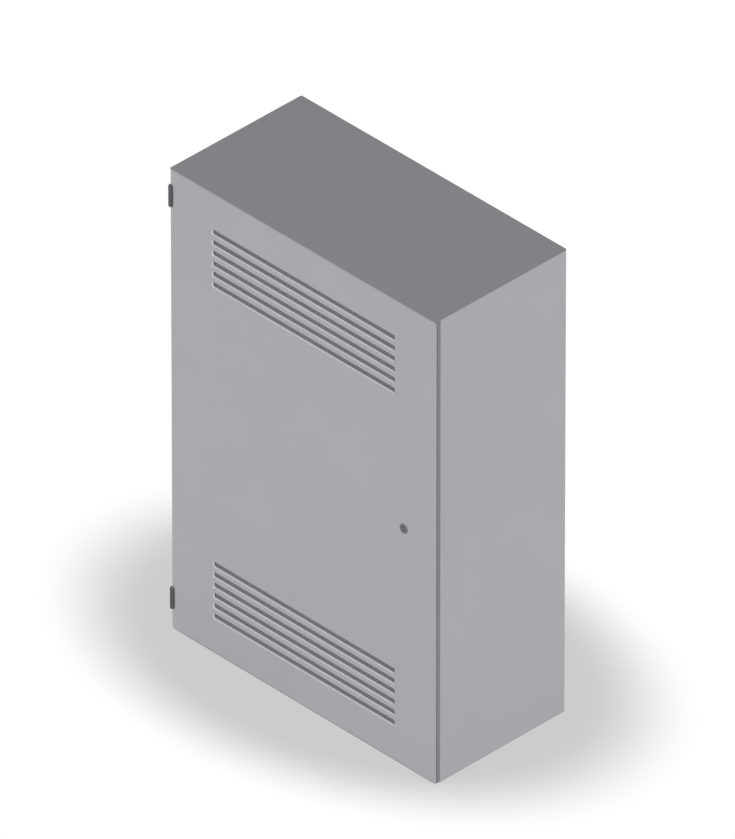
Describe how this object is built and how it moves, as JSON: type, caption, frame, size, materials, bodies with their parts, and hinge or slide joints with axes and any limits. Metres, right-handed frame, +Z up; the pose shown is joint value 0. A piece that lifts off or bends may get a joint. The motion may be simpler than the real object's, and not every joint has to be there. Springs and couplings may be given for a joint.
{
  "type": "roadside utility cabinet",
  "caption": "Upright sheet-steel roadside cabinet with a flat roof, a side-hinged vented door, a round key lock driving latch rods, and an empty mounting plate inside.",
  "frame": {"origin": "on the ground, under the middle of the 800 by 385 mm plan of the body", "axes": "+Z up, the door faces -Y, the hinges are on the -X side and the lock is on the +X side"},
  "size_m": [0.8055, 0.3905, 1.192],
  "materials": {
    "light_paint": "light grey powder coat, satin",
    "dark_paint": "mid grey powder coat, satin",
    "hinge_steel": "dark grey coated steel",
    "lock_zinc": "dark grey coated zinc die casting",
    "galvanised_sheet": "hot-dip galvanised, dull",
    "zinc_plated_steel": "bright zinc plating",
    "seal_rubber": "matt EPDM",
    "filter_fibre": "dark grey fibre mat",
    "brass": "drawn strip",
    "post_plastic": "moulded insulator"
  },
  "bodies": {
    "cabinet": {"front_frame": "dark_paint", "body_wrap": "light_paint", "base_ring": "dark_paint", "roof_cover": "dark_paint", "roof_studs": "zinc_plated_steel", "roof_nuts": "zinc_plated_steel", "gland_plate": "galvanised_sheet", "cable_grommets": "seal_rubber", "floor_screws": "zinc_plated_steel", "mounting_plate": "galvanised_sheet", "plate_studs": "zinc_plated_steel", "plate_spacers": "zinc_plated_steel", "plate_nuts": "zinc_plated_steel", "lower_rail": "zinc_plated_steel", "upper_rail": "zinc_plated_steel", "rail_screws": "zinc_plated_steel", "earth_posts": "post_plastic", "earth_bar": "brass", "earth_screws": "zinc_plated_steel", "top_hinge_body_leaf": "hinge_steel", "bottom_hinge_body_leaf": "hinge_steel", "top_hinge_pin": "zinc_plated_steel", "bottom_hinge_pin": "zinc_plated_steel", "top_hinge_screws": "zinc_plated_steel", "bottom_hinge_screws": "zinc_plated_steel"},
    "door": {"door_skin": "light_paint", "door_ring": "light_paint", "door_ribs": "light_paint", "door_seal": "seal_rubber", "upper_filter_mat": "filter_fibre", "lower_filter_mat": "filter_fibre", "upper_filter_tray": "light_paint", "lower_filter_tray": "light_paint", "upper_filter_studs": "zinc_plated_steel", "lower_filter_studs": "zinc_plated_steel", "upper_wing_nuts": "zinc_plated_steel", "lower_wing_nuts": "zinc_plated_steel", "top_hinge_door_leaf": "hinge_steel", "bottom_hinge_door_leaf": "hinge_steel", "lock_housing": "lock_zinc", "lock_nut": "zinc_plated_steel", "upper_rod_guides": "zinc_plated_steel", "lower_rod_guides": "zinc_plated_steel"},
    "lock": {"lock_core": "lock_zinc", "latch_cam": "zinc_plated_steel", "cam_screw": "zinc_plated_steel"},
    "upper_rod": {"upper_rod": "zinc_plated_steel"},
    "lower_rod": {"lower_rod": "zinc_plated_steel"}
  },
  "joints": [
    {"name": "door_hinge", "type": "hinge", "parent": "cabinet", "child": "door", "pos_m": [-0.4, -0.1925, 0.61507], "axis": [0, 0, -1], "range_deg": [0, 120]},
    {"name": "lock_turn", "type": "hinge", "parent": "door", "child": "lock", "pos_m": [0.304, -0.1925, 0.61507], "axis": [0, -1, 0], "range_deg": [0, 90]},
    {"name": "upper_rod_slide", "type": "slide", "parent": "door", "child": "upper_rod", "axis": [0, 0, 1], "range_m": [0, 0.02828]},
    {"name": "lower_rod_slide", "type": "slide", "parent": "door", "child": "lower_rod", "axis": [0, 0, -1], "range_m": [0, 0.02828]}
  ],
  "couplings": [
    {"joint": "upper_rod_slide", "follows": "lock_turn", "m_per_rad": 0.018006},
    {"joint": "lower_rod_slide", "follows": "lock_turn", "m_per_rad": 0.018006}
  ]
}
